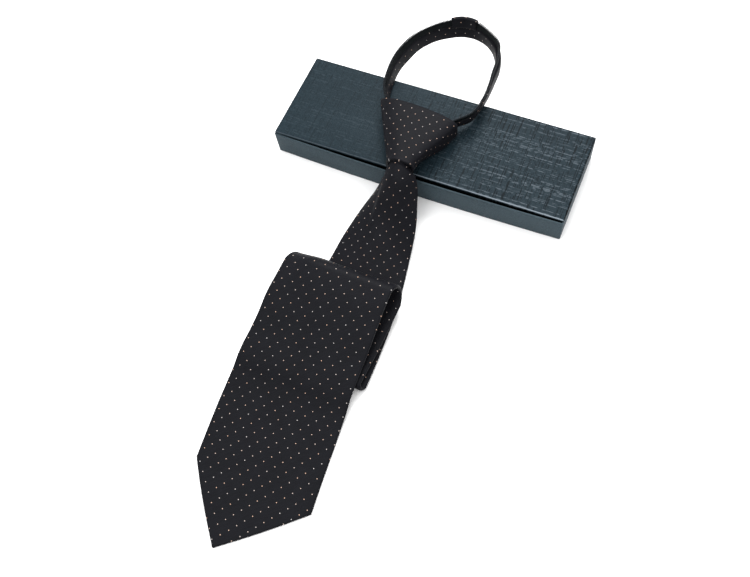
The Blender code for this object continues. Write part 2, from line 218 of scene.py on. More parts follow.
def card_piece(name, profile, bow, slant, corner, material):
    """A card shell from its profile: the front inset, the inset of the other sides and the height."""
    body = bmesh.new()
    rows = []
    for front_inset, inset, z in profile:
        ring = card_ring(front_inset, inset, z, bow, max(corner - inset, LEAST_CORNER), slant)
        rows.append([body.verts.new(point) for point in ring])
    for near, far in zip(rows, rows[1:]):
        for i in range(len(near)):
            body.faces.new((near[i - 1], near[i], far[i], far[i - 1]))
    for row in (rows[0], rows[-1]):
        body.faces.new(row)
    return close_up(body, name, material)


def figure(material, operation, first, second):
    """One sum, difference, product or greatest value of two node values."""
    return brew(material, "Math", {0: first, 1: second}, operation=operation)["Value"]


def add_up(material, total, parts):
    """A total with each part added to it, times that part's strength."""
    for part, strength in parts:
        total = brew(
            material, "Math", {0: part, 1: strength, 2: total}, operation="MULTIPLY_ADD"
        )["Value"]
    return total


def slate_paper(name, tint, roughness, gloss, linen):
    """Slate paper over card: its colour, and how strongly the linen shows: in its relief, and as
    painted glints and painted shade on its threads and on the front, right and back edges.
    """
    material, shader = plain_finish(name, roughness, gloss)
    place = brew(material, "TexCoord")["Object"]

    def threads(scale, low, high):
        stretched = brew(material, "VectorMath", {0: place, 1: scale}, operation="MULTIPLY")
        raw = brew(material, "TexNoise", {"Vector": stretched["Vector"], "Scale": 1.0, "Detail": 2.0})
        return brew(
            material,
            "MapRange",
            {"Value": raw["Fac"], "From Min": low, "From Max": high},
            interpolation_type="SMOOTHSTEP",
        )["Result"]

    def lines(along, broken):
        """Straight pressed threads, broken off here and there."""
        return figure(
            material, "MULTIPLY", threads(along, 0.50, 0.62), threads(broken, 0.44, 0.54)
        )

    weft = lines((6.0, 1150.0, 0.0), (240.0, 500.0, 0.0))
    warp = lines((1250.0, 6.0, 0.0), (420.0, 130.0, 0.0))
    fine = threads((1500.0, 1900.0, 1500.0), 0.30, 0.70)
    cloudy = threads((9.0, 12.0, 30.0), 0.30, 0.70)
    east = brew(material, "SeparateXYZ", {"Vector": place})["X"]
    press_and_painted_light = brew(
        material,
        "MapRange",
        {"Value": east, "From Min": LINEN_FROM, "From Max": LINEN_TO, "To Min": LINEN_LEAST},
    )["Result"]
    pressed = figure(material, "MULTIPLY", figure(material, "SUBTRACT", weft, warp), press_and_painted_light)
    speck = figure(material, "SUBTRACT", fine, 0.5)
    patch = figure(material, "SUBTRACT", cloudy, 0.5)
    # Besides their relief, the pressed threads are painted lighter and darker in the colour: painted
    # glints on the raised threads and painted shade in the sunk ones, stronger towards the right like
    # a glancing reflection. Specks and patches are the paper's own uneven tone.
    level = add_up(material, 1.0, ((pressed, 2.3 * linen), (speck, 0.45), (patch, 0.22)))
    level = figure(material, "MAXIMUM", level, DARKEST)
    facing = brew(material, "NewGeometry")["Normal"]
    for way, painted_light_gain in (  # a painted highlight on the front edge, and painted shade on the right and back edges
        ((0.0, -0.62, 0.78), 9.0 * linen),
        ((0.75, 0.0, 0.66), -0.8 * linen),
        ((0.0, 0.75, 0.66), -0.8 * linen),
    ):
        toward = brew(material, "VectorMath", {0: facing, 1: way}, operation="DOT_PRODUCT")
        edge = brew(
            material,
            "MapRange",
            {"Value": toward["Value"], "From Min": 0.86, "From Max": 0.99},
            interpolation_type="SMOOTHSTEP",
        )["Result"]
        level = add_up(material, level, ((figure(material, "MULTIPLY", edge, press_and_painted_light), painted_light_gain),))
    colour = brew(material, "VectorMath", {0: tint, "Scale": level}, operation="SCALE")["Vector"]
    glint = figure(material, "MAXIMUM", figure(material, "SUBTRACT", level, 1.0), 0.0)
    glint = brew(
        material, "VectorMath", {0: (0.012, 0.006, 0.003), "Scale": glint}, operation="SCALE"
    )["Vector"]
    colour = brew(material, "VectorMath", {0: colour, 1: glint}, operation="ADD")["Vector"]
    join(material, colour, shader["Base Color"])
    height = add_up(material, speck, ((pressed, linen),))
    bump = brew(material, "Bump", {"Strength": 0.45, "Distance": 0.10 * MM, "Height": height})
    join(material, bump["Normal"], shader["Normal"])
    return material


# The walls' copy of the slate paper is tinted about three times lighter than the lid's. This is
# painted light, standing in for the bright table that the front wall reflects.
wall_paper = slate_paper("slate_paper_smooth", (0.033, 0.049, 0.059), 0.55, 0.06, 0.0)
lid_paper = slate_paper("slate_paper_linen", (0.0092, 0.0180, 0.0240), 0.46, 0.05, 1.0)

rim = BOX_HEIGHT - LID_RISE
tray_profile = [
    *fold_over(FOOT_ROUND, FOOT_ROUND, FOOT_ROUND, 270, 180),
    *fold_over(RIM_ROUND, rim - RIM_ROUND, RIM_ROUND, 180, 90),
    *fold_over(CARD - RIM_ROUND, rim - RIM_ROUND, RIM_ROUND, 90, 0),
    (CARD, CARD),
]
tray_profile = [(inset, inset, z) for inset, z in tray_profile]
box_tray = card_piece("box_tray_paper", tray_profile, FRONT_BOW, 0.0, TRAY_CORNER, wall_paper)
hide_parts("box_tray")

lid_front = CARD + LID_FIT
lid_low = rim + LID_GAP
skirt = lid_front + LID_GAP
lid_profile = [
    (skirt + CARD, skirt + CARD, BOX_HEIGHT - CARD),
    (skirt + CARD, skirt + CARD, rim - LID_SKIRT),
    (skirt, skirt, rim - LID_SKIRT),
    (skirt, skirt, lid_low),
    (lid_front, LID_SIDE_INSET, lid_low),
]
for step in range(ROUND_STEPS + 1):
    turn = math.radians(90 * step / ROUND_STEPS)
    lid_profile.append(
        (
            lid_front + LID_FRONT_ROUND * (1 - math.cos(turn)),
            LID_SIDE_ROUND * (1 - math.cos(turn)),
            BOX_HEIGHT - LID_SIDE_ROUND * (1 - math.sin(turn)),
        )
    )
lid_profile.append((lid_front + LID_PANEL_INSET, LID_PANEL_INSET, BOX_HEIGHT))
box_lid = card_piece("box_lid_paper", lid_profile, 0.0, LID_SLANT, LID_CORNER, lid_paper)
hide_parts("box_lid")

# Tie cloth: a fine charcoal twill with small pale dots woven in on a slanting
# grid. One cloth covers the knot, both blades, the neck band and the back tab.
DOT_STEP_A = (3.74, 4.78)  # from one dot to the next, in mm across and back along the blade
DOT_STEP_B = (4.81, -5.16)
DOT_RADIUS = 0.32
DOT_EDGE = (0.03, 0.19)  # mm beyond the radius, where a dot's edge starts and ends
DOT_RAGGED = 0.22
TWILL_STEP = 0.55
THREAD_STEP = 0.24
SLUB_TURN = -41


def dot_place(across, along, shift=(0.0, 0.0)):
    """A place on the flat cloth, counted in dots along the grid's two directions."""
    (ax, ay), (bx, by) = DOT_STEP_A, DOT_STEP_B
    x, y = across / MM, -along / MM
    size = ax * by - ay * bx
    return ((x * by - y * bx) / size + shift[0], (y * ax - x * ay) / size + shift[1])


def dotted_twill():
    """Twill ribs, slubs and haze on a dark ground, with one small ragged dot in each cell."""
    material, shader = plain_finish("dotted_twill", 0.48, 0.045)
    shader["Sheen Weight"].default_value = 0.01
    shader["Sheen Roughness"].default_value = 0.45
    shader["Sheen Tint"].default_value = (0.85, 0.80, 0.88, 1)
    count = brew(material, "UVMap", uv_map="cloth")["UV"]

    def measured(vector):
        """The vector in mm across and along the cloth."""
        across = (DOT_STEP_A[0], DOT_STEP_B[0], 0)
        along = (DOT_STEP_A[1], DOT_STEP_B[1], 0)
        x = brew(material, "VectorMath", {0: vector, 1: across}, operation="DOT_PRODUCT")
        y = brew(material, "VectorMath", {0: vector, 1: along}, operation="DOT_PRODUCT")
        return brew(material, "CombineXYZ", {"X": x["Value"], "Y": y["Value"]})["Vector"]

    half = (0.5, 0.5, 0)
    moved = brew(material, "VectorMath", {0: count, 1: half}, operation="ADD")["Vector"]
    inside = brew(material, "VectorMath", {0: moved}, operation="FRACTION")["Vector"]
    offset = brew(material, "VectorMath", {0: inside, 1: half}, operation="SUBTRACT")["Vector"]
    cell = brew(material, "VectorMath", {0: moved}, operation="FLOOR")["Vector"]
    chance = brew(material, "TexWhiteNoise", {"Vector": cell}, noise_dimensions="3D")
    cloth = measured(count)
    wobble = brew(material, "TexNoise", {"Vector": cloth, "Scale": 3.0, "Detail": 1.0})["Fac"]
    distance = brew(material, "VectorMath", {0: measured(offset)}, operation="LENGTH")["Value"]
    ragged = add_up(material, distance, ((wobble, DOT_RAGGED),))
    dot = brew(
        material,
        "MapRange",
        {"Value": ragged, "From Min": DOT_RADIUS + DOT_EDGE[1], "From Max": DOT_RADIUS + DOT_EDGE[0]},
        interpolation_type="SMOOTHSTEP",
    )["Result"]

    def ribs(x, y, step):
        wave = (math.tau * x / step, math.tau * y / step, 0)
        phase = brew(material, "VectorMath", {0: cloth, 1: wave}, operation="DOT_PRODUCT")
        return brew(material, "Math", {0: phase["Value"]}, operation="SINE")["Value"]

    twill = ribs(0.75, 0.66, TWILL_STEP)
    thread = ribs(-0.30, 0.95, THREAD_STEP)
    fuzz = brew(material, "TexNoise", {"Vector": cloth, "Scale": 1.6, "Detail": 5.0})["Fac"]
    haze = brew(material, "TexNoise", {"Vector": cloth, "Scale": 0.06, "Detail": 2.0})["Fac"]
    slanted = brew(
        material,
        "VectorRotate",
        {"Vector": cloth, "Angle": math.radians(SLUB_TURN)},
        rotation_type="Z_AXIS",
    )["Vector"]
    drawn_out = brew(
        material, "VectorMath", {0: slanted, 1: (0.16, 1.15, 1.0)}, operation="MULTIPLY"
    )["Vector"]
    slub = brew(material, "TexNoise", {"Vector": drawn_out, "Scale": 1.0, "Detail": 3.0})["Fac"]
    uneven = ((twill, 0.16), (thread, 0.07), (fuzz, 0.95), (haze, 0.45), (slub, 0.85))
    level = add_up(material, 0.0, uneven)
    ground = brew(
        material, "VectorMath", {0: (0.0050, 0.0052, 0.0068), "Scale": level}, operation="SCALE"
    )["Vector"]
    pale = brew(
        material,
        "Mix",
        {0: chance["Value"], "A": (0.42, 0.40, 0.39, 1), "B": (0.50, 0.32, 0.23, 1)},
        data_type="RGBA",
    )["Result"]
    colour = brew(material, "Mix", {0: dot, "A": ground, "B": pale}, data_type="RGBA")["Result"]
    join(material, colour, shader["Base Color"])
    relief = ((twill, 0.35), (thread, 0.2), (dot, 1.2), (fuzz, 0.8))
    height = add_up(material, 0.0, relief)
    bump = brew(material, "Bump", {"Strength": 0.5, "Distance": 0.05 * MM, "Height": height})
    join(material, bump["Normal"], shader["Normal"])
    return material


tie_cloth = dotted_twill()

# Front blade: the wide end of the tie, cloth folded over soft interlining. It
# leaves the knot narrow and rolled, spreads, lies on the table and is folded
# twice, back on itself and forward again, before it ends in its point.
GAP = 0.3 * MM
KNOT_HEM_WIDTH = 23 * MM
KNOT_HEM_CENTRE = -7.4 * MM
KNOT_DEPTH = 20.7 * MM
KNOT_WALL = 2 * MM
BLADE_WIDTH = 90 * MM
BLADE_THICKNESS = 2.8 * MM
FOLD_WIDTH = 74 * MM
TIP_LENGTH = 46.5 * MM
TIP_SLANT = 2.2 * MM
TIP_REACH = 296.4 * MM
FRONT_FOLD_REACH = 163.2 * MM
REAR_FOLD_REACH = 85.2 * MM
FRONT_FOLD_SPACE = 1.6 * MM
REAR_FOLD_SPACE = 14.4 * MM
LANDING = 43 * MM
POINT_BULGE = 1.1 * MM
POINT_STEPS = 26
PLEAT_PLACE = -16.2 * MM
PLEAT_DEPTH = 1.9 * MM
PLEAT_LINE = (-1.3 * MM, 0.5 * MM)  # where the pleat starts and ends across the blade
PLEAT_FRONT = (-112 * MM, -68 * MM)  # and where it fades out, in front and at the knot
PLEAT_BACK = (-54 * MM, -44 * MM)
FOLD_SAG = Vector((-0.6 * MM, -0.8 * MM, -4.0 * MM))
FOLD_SAG_SHARE = -0.42
FOLD_SAG_PLACE = 4 * MM
FOLD_SAG_REACH = 40 * MM
WAVE_HEIGHT = 0.22 * MM
WAVES_PER_METRE = 26
TAIL_THICKNESS = 2.2 * MM

BOX_FRONT = -BOX_DEPTH / 2
KNOT_BOTTOM = BOX_HEIGHT + GAP
HALF_BLADE = BLADE_THICKNESS / 2
BLADE_HEM_WIDTH = KNOT_HEM_WIDTH - 2 * (KNOT_WALL + GAP) - BLADE_THICKNESS
BLADE_HEM_LEVEL = KNOT_BOTTOM + KNOT_DEPTH - KNOT_WALL - GAP - HALF_BLADE
LOW_LEVEL = TAIL_THICKNESS + GAP + HALF_BLADE
FRONT_FOLD_RADIUS = (FRONT_FOLD_SPACE + BLADE_THICKNESS) / 2
REAR_FOLD_RADIUS = (REAR_FOLD_SPACE + BLADE_THICKNESS) / 2
MIDDLE_LEVEL = LOW_LEVEL + 2 * FRONT_FOLD_RADIUS
TOP_LEVEL = MIDDLE_LEVEL + 2 * REAR_FOLD_RADIUS
OVER_FOLD_LEVEL = MIDDLE_LEVEL + BLADE_THICKNESS + GAP
FRONT_TURN = BOX_FRONT - FRONT_FOLD_REACH + FRONT_FOLD_RADIUS + HALF_BLADE
REAR_TURN = BOX_FRONT - REAR_FOLD_REACH - REAR_FOLD_RADIUS - HALF_BLADE
CORNER_PLACE = BOX_FRONT - TIP_REACH + TIP_LENGTH

# Reach, rise of the drop from the knot, spread of the widening, shift of the width, and roll.
LOWER_RUN = (
    (-0.072, 0.985, 0.000, -0.016, 1.45),
    (-0.023, 1.000, 0.000, -0.008, 1.45),
    (0.020, 1.000, 0.000, 0.000, 1.45),
    (0.050, 0.970, 0.100, 0.018, 1.35),
    (0.093, 0.875, 0.165, 0.029, 1.40),
    (0.160, 0.640, 0.310, 0.024, 1.20),
    (0.246, 0.360, 0.530, 0.010, 0.78),
    (0.350, 0.150, 0.671, 0.005, 0.46),
    (0.479, 0.030, 0.769, 0.018, 0.20),
    (0.620, 0.000, 0.880, 0.019, 0.10),
    (0.800, 0.000, 0.957, 0.016, 0.08),
    (0.978, 0.000, 1.000, 0.010, 0.06),
)
# Along the run, rise of its drop, and width and shift as shares of the blade's width.
MIDDLE_RUN = ((0.0, 0.0, 0.844, -0.038), (0.5, 0.0, 0.900, -0.045), (1.0, 0.0, 0.933, -0.051))
TOP_RUN = (
    (0.00, 1.000, 0.933, -0.118),
    (0.22, 0.910, 0.939, -0.118),
    (0.44, 0.640, 0.956, -0.123),
    (0.66, 0.310, 0.960, -0.124),
    (0.84, 0.085, 0.968, -0.128),
    (1.00, 0.000, 0.978, -0.129),
)
LANDING_RUN = (
    (0.00, 1.00, 0.978, -0.129),
    (0.21, 0.76, 0.984, -0.130),
    (0.44, 0.34, 0.992, -0.128),
    (0.68, 0.07, 1.000, -0.126),
    (1.00, 0.00, 1.004, -0.115),
)
HALF_WAY_SHIFT, CORNER_SHIFT, POINT_SHIFT = -0.092, -0.066, -0.131

Section = namedtuple("Section", "y level width centre roll slant")


def smooth(rows, steps):
    """Points of a curve through all rows, with the given number of steps between two rows."""
    rows = [tuple(row) for row in rows]
    padded = [rows[0], *rows, rows[-1]]
    found = []
    for before, start, end, after in zip(padded, padded[1:], padded[2:], padded[3:]):
        for step in range(steps):
            t = step / steps
            point = []
            for a, b, c, d in zip(before, start, end, after):
                first = (c - a) / 2
                second = a - 2.5 * b + 2 * c - d / 2
                third = 1.5 * (b - c) + (d - a) / 2
                point.append(b + t * (first + t * (second + t * third)))
            found.append(tuple(point))
    return [*found, rows[-1]]


def between(start, end, share):
    return start + (end - start) * share


def ease(value, low, high):
    """0 below low and 1 above high, with a soft start and end."""
    share = min(1.0, max(0.0, (value - low) / (high - low)))
    return share * share * (3 - 2 * share)


def hump(value, middle, half_width):
    """1 at the middle, falling softly to 0 at the half width on either side."""
    return 1 - ease(abs(value - middle), 0, half_width)


def run_sections(rows, start_y, end_y, high, low, steps):
    """Sections of a run from one place to another, which drops from a high level to a low one."""
    return [
        Section(
            between(start_y, end_y, along),
            between(low, high, rise),
            BLADE_WIDTH * width,
            KNOT_HEM_CENTRE + BLADE_WIDTH * shift,
            0,
            0,
        )
        for along, rise, width, shift in smooth(rows, steps)
    ]


def turn_sections(start, end, turn_y, radius, steps, side):
    """Sections of a half turn from one run up to the next, towards the front or the back."""
    found = []
    for step in range(1, steps):
        share = step / steps
        angle = math.pi * share
        found.append(
            Section(
                turn_y + side * radius * math.sin(angle),
                start.level + radius * (1 - math.cos(angle)),
                between(start.width, end.width, share),
                between(start.centre, end.centre, share),
                between(start.roll, end.roll, share),
                0,
            )
        )
    return found


lower = [
    Section(
        BOX_FRONT - FRONT_FOLD_REACH * reach,
        between(LOW_LEVEL, BLADE_HEM_LEVEL, rise),
        between(BLADE_HEM_WIDTH, FOLD_WIDTH, spread),
        KNOT_HEM_CENTRE + BLADE_WIDTH * shift,
        roll,
        0,
    )
    for reach, rise, spread, shift, roll in smooth(LOWER_RUN, steps=7)
]
lower[-1] = lower[-1]._replace(y=FRONT_TURN)
middle = run_sections(MIDDLE_RUN, FRONT_TURN, REAR_TURN, 0, MIDDLE_LEVEL, steps=8)
top_end = BOX_FRONT - FRONT_FOLD_REACH
top = run_sections(TOP_RUN, REAR_TURN, top_end, TOP_LEVEL, OVER_FOLD_LEVEL, steps=5)
landed = top_end - LANDING
landing = run_sections(LANDING_RUN, top_end, landed, OVER_FOLD_LEVEL, HALF_BLADE, steps=6)
front_turn = turn_sections(lower[-1], middle[0], FRONT_TURN, FRONT_FOLD_RADIUS, 14, side=-1)
rear_turn = turn_sections(middle[-1], top[0], REAR_TURN, REAR_FOLD_RADIUS, 24, side=1)

_, _, landed_width, landed_shift = LANDING_RUN[-1]
flat_end = [
    (landed, BLADE_WIDTH * landed_width, landed_shift, 0),
    ((landed + CORNER_PLACE) / 2, BLADE_WIDTH, HALF_WAY_SHIFT, -TIP_SLANT / 3),
    (CORNER_PLACE, BLADE_WIDTH, CORNER_SHIFT, -TIP_SLANT),
]
tip = [
    Section(y, HALF_BLADE, width, KNOT_HEM_CENTRE + BLADE_WIDTH * shift, 0, slant)
    for y, width, shift, slant in smooth(flat_end, steps=5)[1:]
]
for step in range(1, POINT_STEPS + 1):
    share = step / POINT_STEPS
    bulge = POINT_BULGE * math.sin(math.pi * share)
    tip.append(
        Section(
            CORNER_PLACE - (TIP_LENGTH - GAP) * share,
            HALF_BLADE,
            between(BLADE_WIDTH, 2 * GAP, share) + 2 * bulge,
            KNOT_HEM_CENTRE + BLADE_WIDTH * between(CORNER_SHIFT, POINT_SHIFT, share),
            0,
            -TIP_SLANT * (1 - share),
        )
    )

runs = (
    ("lower", lower),
    ("front_fold", front_turn),
    ("middle", middle),
    ("rear_fold", rear_turn),
    ("top", top),
    ("top", landing[1:]),
    ("tip", tip),
)
blade_line = [section for _, sections in runs for section in sections]
blade_runs = [name for name, sections in runs for _ in sections]

EDGE_STEPS = (0.0, 0.10, 0.35, 0.75, 1.4)  # mm from a rounded edge, where its columns stand


def columns_of(width, inner):
    """Places across a strap from edge to edge, with each place's share of the full thickness."""
    edge = min(EDGE_STEPS[-1] * MM, width / 4)
    near = [step / EDGE_STEPS[-1] for step in EDGE_STEPS]
    thick = [math.sqrt(1 - (1 - share) ** 2) for share in near]
    left = [(-width / 2 + share * edge, part) for share, part in zip(near, thick)]
    right = [(-place, part) for place, part in reversed(left)]
    start, end = left[-1][0], right[0][0]
    return [*left, *((between(start, end, i / inner), 1.0) for i in range(1, inner)), *right]


def skin(name, rings, marks, ends, material):
    """One closed piece of cloth from rings of points. Each ring's marks are its places on the
    cloth, in spans that together go once round it: one span for each face of a strap."""
    body = bmesh.new()
    layer = body.loops.layers.uv.new("cloth")
    rows = [[body.verts.new(point) for point in ring] for ring in rings]
    pairs = [(i, i + 1) for i in range(len(rows) - 1)]
    if ends == "joined":
        pairs.append((len(rows) - 1, 0))
    for a, b in pairs:
        first = 0
        for near, far in zip(marks[a], marks[b]):
            for k in range(len(near) - 1):
                i, j = first + k, (first + k + 1) % len(rows[a])
                face = body.faces.new((rows[a][i], rows[a][j], rows[b][j], rows[b][i]))
                places = (near[k], near[k + 1], far[k + 1], far[k])
                for loop, place in zip(face.loops, places):
                    loop[layer].uv = place
            first += len(near) - 1
    if ends == "closed":
        for row, spans in ((rows[0], marks[0]), (rows[-1], marks[-1])):
            for i in range(len(row) // 2):
                corners = dict.fromkeys((row[i], row[i + 1], row[-i - 1], row[-i]))
                face = body.faces.new(tuple(corners))
                for loop in face.loops:
                    loop[layer].uv = spans[0][0]
    return close_up(body, name, material)


# How soft cloth is drawn out of true as it is folded and sewn: in mm, about a middle place on
# it, a shift, a share of widening and lengthening, a skew and turn of its threads, and a bow.
Pull = namedtuple("Pull", "middle shift widen lengthen skew turn bow")
LOWER_PULL = Pull((3, -67), (5.4, 1.2), 0.08, 0.09, -0.013, -0.05, -0.0003)
TOP_PULL = Pull((-9, -370), (4.6, 0.6), -0.022, 0.003, -0.014, -0.019, -0.0004)
BOW_REACH = 100


def drawn(across, along, pull):
    """A place on cloth that is drawn out of true, counted in dots like any other place."""
    x, y = across / MM, -along / MM
    off_x, off_y = x - pull.middle[0], y - pull.middle[1]
    bend = pull.bow * min(abs(off_y), BOW_REACH) ** 2
    x += pull.shift[0] + pull.widen * off_x + pull.skew * off_y + bend
    y += pull.shift[1] + pull.turn * off_x + pull.lengthen * off_y
    return dot_place(x * MM, -y * MM)


def strap(name, line, run_names, thickness, inner, bend, material):
    """A lined strap that follows its sections, rolled across its width where they say so."""
    rings, marks = [], []
    along = 0.0
    for i, section in enumerate(line):
        before = line[max(i - 1, 0)]
        after = line[min(i + 1, len(line) - 1)]
        if i:
            along += math.hypot(section.y - before.y, section.level - before.level)
        run = Vector((0, after.y - before.y, after.level - before.level)).normalized()
        normal = Vector((0, run.z, -run.y))
        middle = Vector((section.centre, section.y, section.level))
        radius = section.width / 2 / math.sin(section.roll) if section.roll else 0
        arc = 2 * radius * section.roll if section.roll else section.width
        front, back, front_marks, back_marks = [], [], [], []
        for place, part in columns_of(arc, inner):
            share = place / (arc / 2)
            angle = share * section.roll
            across = radius * math.sin(angle) if section.roll else place
            sink = radius * (1 - math.cos(angle))
            spot = middle + Vector((across, share * section.slant, 0)) - normal * sink
            outward = normal * math.cos(angle) + Vector((math.sin(angle), 0, 0))
            half = thickness / 2 * part
            front.append(bend(spot + outward * half, share, run_names[i]))
            if part > 0:
                back.append(bend(spot - outward * half, share, run_names[i]))
            cloth_x = section.centre - KNOT_HEM_CENTRE + place
            late = ease(i, len(lower), len(lower) + len(front_turn) + len(middle))
            low, high = drawn(cloth_x, along, LOWER_PULL), drawn(cloth_x, along, TOP_PULL)
            front_marks.append([between(a, b, late) for a, b in zip(low, high)])
            back_marks.append(dot_place(cloth_x, along))
        rings.append([*front, *reversed(back)])
        marks.append([front_marks, list(reversed(back_marks))])
    return skin(name, rings, marks, "closed", material)


def blade_bend(point, share, run):
    """The unevenness of soft cloth: a pleat below the knot, a sagging fold end, and low waves."""
    if run == "lower":
        left = 1 - ease(point.x - PLEAT_PLACE, *PLEAT_LINE)
        fade = ease(point.y, *PLEAT_FRONT) * (1 - ease(point.y, *PLEAT_BACK))
        point = point - Vector((0, 0, PLEAT_DEPTH)) * (left * fade)
    if run in ("rear_fold", "top"):
        left = 1 - ease(share, -1.0, FOLD_SAG_SHARE)
        near = hump(point.y, REAR_TURN + FOLD_SAG_PLACE, FOLD_SAG_REACH)
        high = ease(point.z, MIDDLE_LEVEL, TOP_LEVEL)
        point = point + FOLD_SAG * (left * near * high)
    if run != "tip":
        place = Vector((point.x * WAVES_PER_METRE, point.y * WAVES_PER_METRE, 3.0))
        point = point + Vector((0, 0, WAVE_HEIGHT)) * noise.noise(place)
    return point


front_blade = strap(
    "front_blade_cloth", blade_line, blade_runs, BLADE_THICKNESS, 26, blade_bend, tie_cloth
)
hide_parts("front_blade")


# Tail: the narrow blade, which hangs from the knot too and lies hidden under
# the front blade. The same lined cloth, cut narrow, with a plain point.
TAIL_WIDTH = 30 * MM
TAIL_NECK_WIDTH = 9 * MM
TAIL_REACH = 150 * MM
TAIL_LIFT = 1.2 * MM
TAIL_POINT_STEPS = 10
# Reach, rise of the drop from the knot, and spread of the widening.
TAIL_RUN = (
    (-0.052, 1.000, 0.00),
    (0.000, 1.000, 0.00),
    (0.028, 0.985, 0.02),
    (0.068, 0.810, 0.12),
    (0.115, 0.560, 0.24),
    (0.161, 0.300, 0.40),
    (0.215, 0.100, 0.58),
    (0.281, 0.010, 0.74),
    (0.368, 0.000, 0.90),
    (0.600, 0.000, 1.00),
    (0.900, 0.000, 1.00),
)
tail_level = KNOT_BOTTOM + KNOT_WALL + TAIL_LIFT + TAIL_THICKNESS / 2
tail_line = [
    Section(
        BOX_FRONT - TAIL_REACH * reach,
        between(TAIL_THICKNESS / 2, tail_level, rise),
        between(TAIL_NECK_WIDTH, TAIL_WIDTH, spread),
        KNOT_HEM_CENTRE,
        0,
        0,
    )
    for reach, rise, spread in smooth(TAIL_RUN, steps=5)
]
for step in range(1, TAIL_POINT_STEPS + 1):
    share = step / TAIL_POINT_STEPS
    tail_line.append(
        tail_line[-1]._replace(
            y=BOX_FRONT - TAIL_REACH * between(TAIL_RUN[-1][0], 1.0, share),
            width=between(TAIL_WIDTH, 2 * GAP, share),
        )
    )


def no_bend(point, share, run):
    """For a strap that keeps to its sections."""
    return point


tail = strap(
    "tail_cloth", tail_line, ["tail"] * len(tail_line), TAIL_THICKNESS, 10, no_bend, tie_cloth
)
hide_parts("tail")

# Knot: the same cloth wrapped once round and sewn behind, wide and flat at the
# top and narrow at the hem, hollow so that the zip and both blades pass in it.
KNOT_TOP_WIDTH = 65 * MM
KNOT_TOP_CENTRE = -12.2 * MM
KNOT_TOP_BOW = 1.4 * MM
KNOT_LENGTH = 50 * MM
KNOT_OVERHANG = 3.2 * MM
KNOT_DROOP = 4.0 * MM
KNOT_RIGHT_SQUARENESS = 2.2
KNOT_TUCK = 6.5 * MM
KNOT_TUCK_PLACE = 0.72
KNOT_TUCK_REACH = 0.42
KNOT_PULL = Pull((-3, -20), (6.4, -4.3), -0.04, 0.18, -0.045, -0.08, -0.001)
KNOT_MIDDLE = KNOT_BOTTOM + KNOT_DEPTH / 2
KNOT_TOP = BOX_FRONT - KNOT_OVERHANG + KNOT_LENGTH
KNOT_SIDES = 120
KNOT_STEPS = 44
KNOT_EDGE_STEPS = 8
# Along the knot, its flare and how square its section is.
KNOT_WRAPS = (
    (0.00, 1.00, 3.6),
    (0.20, 0.79, 3.3),
    (0.45, 0.53, 3.0),
    (0.70, 0.27, 2.7),
    (0.93, 0.02, 2.4),
    (1.00, 0.00, 2.4),
)
wraps = smooth(KNOT_WRAPS, steps=10)


def knot_wrap(along):
    """The knot's flare and squareness at a share of its length, read off its table."""
    for a, b in zip(wraps, wraps[1:]):
        if along <= b[0]:
            share = (along - a[0]) / (b[0] - a[0])
            return between(a[1], b[1], share), between(a[2], b[2], share)
    return wraps[-1][1:]


def knot_ring(along, wall):
    """One ring of the knot, a rounded box in section, drawn in by the wall, with its marks."""
    flare, squareness = knot_wrap(along)
    width = between(KNOT_HEM_WIDTH, KNOT_TOP_WIDTH, flare)
    centre = between(KNOT_TOP_CENTRE, KNOT_HEM_CENTRE, along)
    half_width, half_depth = width / 2 - wall, KNOT_DEPTH / 2 - wall
    ring = []
    for side in range(KNOT_SIDES):
        angle = math.tau * side / KNOT_SIDES - math.pi / 2
        power = 2 / (squareness + KNOT_RIGHT_SQUARENESS * max(0.0, math.cos(angle)))
        across = math.copysign(abs(math.cos(angle)) ** power, math.cos(angle))
        up = math.copysign(abs(math.sin(angle)) ** power, math.sin(angle))
        bow = KNOT_TOP_BOW * (1 - across**2) * (1 - along)
        droop = KNOT_DROOP * ((across + 1) / 2) ** 2 * (1 - along)
        tuck = KNOT_TUCK * hump(along, KNOT_TUCK_PLACE, KNOT_TUCK_REACH)
        y = KNOT_TOP - KNOT_LENGTH * along + bow - droop
        x = centre + half_width * across - tuck * max(0.0, across) * (1 - up) / 2
        ring.append(Vector((x, y, KNOT_MIDDLE + half_depth * up)))
    lengths = [0.0]
    for a, b in zip(ring, [*ring[1:], ring[0]]):
        lengths.append(lengths[-1] + (b - a).length)
    top_place = lengths[KNOT_SIDES // 2]
    marks = [
        drawn(centre - KNOT_HEM_CENTRE - (length - top_place), KNOT_LENGTH * along, KNOT_PULL)
        for length in lengths
    ]
    return ring, [marks]


outside = [(step / KNOT_STEPS, 0) for step in range(KNOT_STEPS + 1)]
turns = [math.pi * step / KNOT_EDGE_STEPS for step in range(1, KNOT_EDGE_STEPS)]
hem = [(1.0, KNOT_WALL / 2 * (1 - math.cos(turn))) for turn in turns]
inside = [(along, KNOT_WALL) for along, _ in reversed(outside)]
mouth = [(0.0, KNOT_WALL / 2 * (1 + math.cos(turn))) for turn in turns]
knot_rows = [knot_ring(along, wall) for along, wall in (*outside, *hem, *inside, *mouth)]
knot = skin("knot_cloth", [r for r, _ in knot_rows], [m for _, m in knot_rows], "joined", tie_cloth)
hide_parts("knot")

# Neck band: one narrow padded tube of the same cloth, sewn round the whole neck
# loop. It turns over on the right, where the loop is bent most sharply. The
# zip's tape is sewn into its upper edge, with the coil above it.
LOOP_WIDTH = 78 * MM
LOOP_REACH = 96 * MM
LOOP_CENTRE = -11 * MM
BAND_WIDTH = 18 * MM
CLOTH_WIDTH = 11 * MM
CLOTH_THICKNESS = 2.4 * MM
TAB_PLACE = 0.48
LOOP_STEPS = 12
STRIP_STEP = 1.5 * MM
TWIST_ROW = 12.7
TWIST_REACH = 36 * MM
BAND_SHIFT = (0.24, 0.56)  # where the dots fall on the band, in dots
